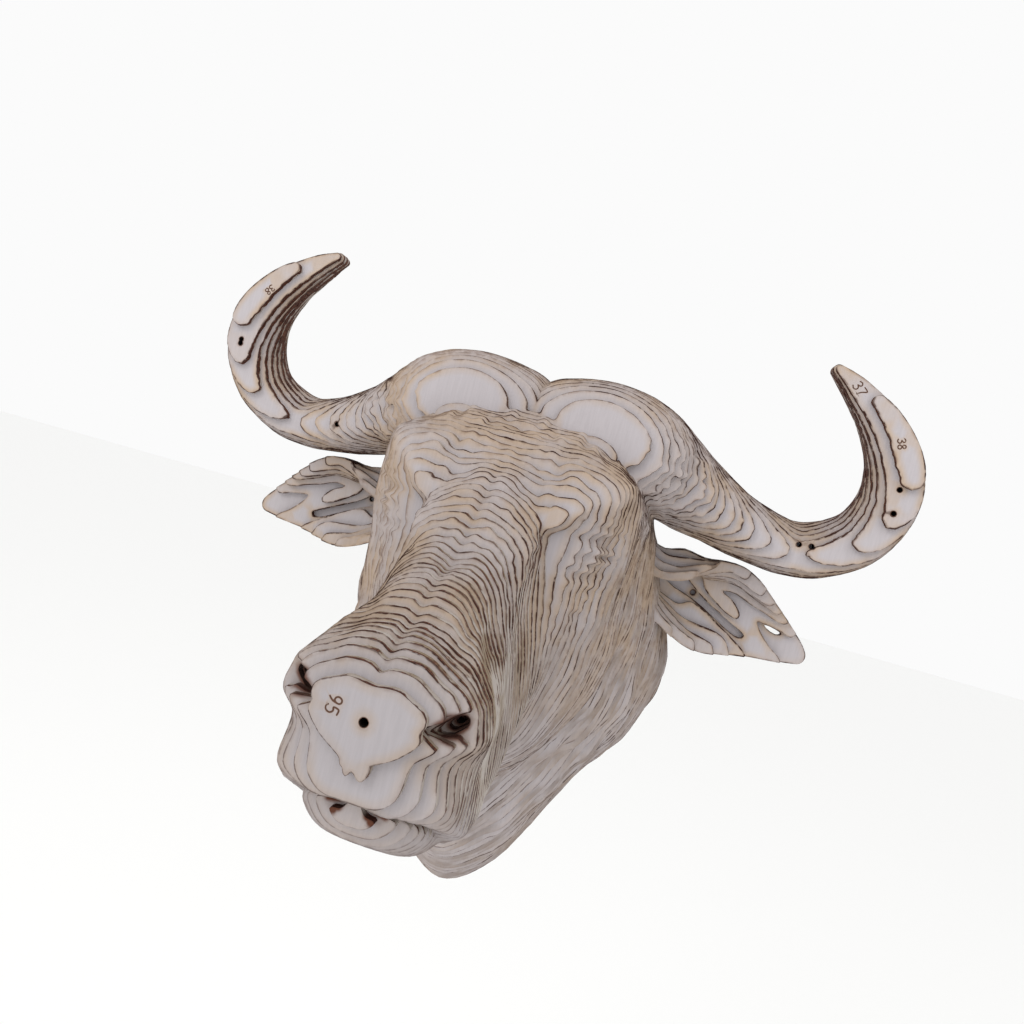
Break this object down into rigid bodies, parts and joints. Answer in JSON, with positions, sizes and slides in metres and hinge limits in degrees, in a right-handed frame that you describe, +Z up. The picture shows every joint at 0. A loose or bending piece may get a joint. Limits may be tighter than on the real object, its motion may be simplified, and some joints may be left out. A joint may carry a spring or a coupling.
{
  "type": "wall-hung buffalo head of stacked laser-cut sheets",
  "caption": "Buffalo head with horns and ears for hanging on a wall, built of flat laser-cut wooden sheets stacked parallel to the wall.",
  "frame": {"origin": "on the wall, in the middle of the neck's flat back face", "axes": "+X to the viewer's right, +Y into the wall, +Z up; the nose points along -Y"},
  "size_m": [0.3566, 0.285, 0.3253],
  "materials": {
    "sheet_wood": "matte, pale faces with scorched brown cut edges",
    "horn_wood": "matte, pale faces with dark scorched cut edges"
  },
  "bodies": {
    "root": {"sheets_01_03": "sheet_wood", "sheets_04_06": "sheet_wood", "sheets_07_09": "sheet_wood", "sheets_10_12": "sheet_wood", "sheets_13_15": "sheet_wood", "sheets_16_18": "sheet_wood", "sheets_19_21": "sheet_wood", "sheets_22_24": "sheet_wood", "sheets_25_27": "sheet_wood", "sheets_28_30": "sheet_wood", "sheets_31_33": "sheet_wood", "sheets_34_36": "sheet_wood", "sheets_37_39": "sheet_wood", "horn_left_37_39": "horn_wood", "horn_right_37_39": "horn_wood", "sheets_40_42": "sheet_wood", "sheets_43_45": "sheet_wood", "sheets_46_48": "sheet_wood", "sheets_49_51": "sheet_wood", "sheets_52_54": "sheet_wood", "sheets_55_57": "sheet_wood", "sheets_58_60": "sheet_wood", "sheets_61_63": "sheet_wood", "sheets_64_66": "sheet_wood", "sheets_67_69": "sheet_wood", "sheets_70_72": "sheet_wood", "sheets_73_75": "sheet_wood", "sheets_76_78": "sheet_wood", "sheets_79_81": "sheet_wood", "sheets_82_84": "sheet_wood", "sheets_85_87": "sheet_wood", "sheets_88_90": "sheet_wood", "lower_lip_88_90": "sheet_wood", "sheets_91_93": "sheet_wood", "sheets_94_95": "sheet_wood"}
  },
  "joints": []
}
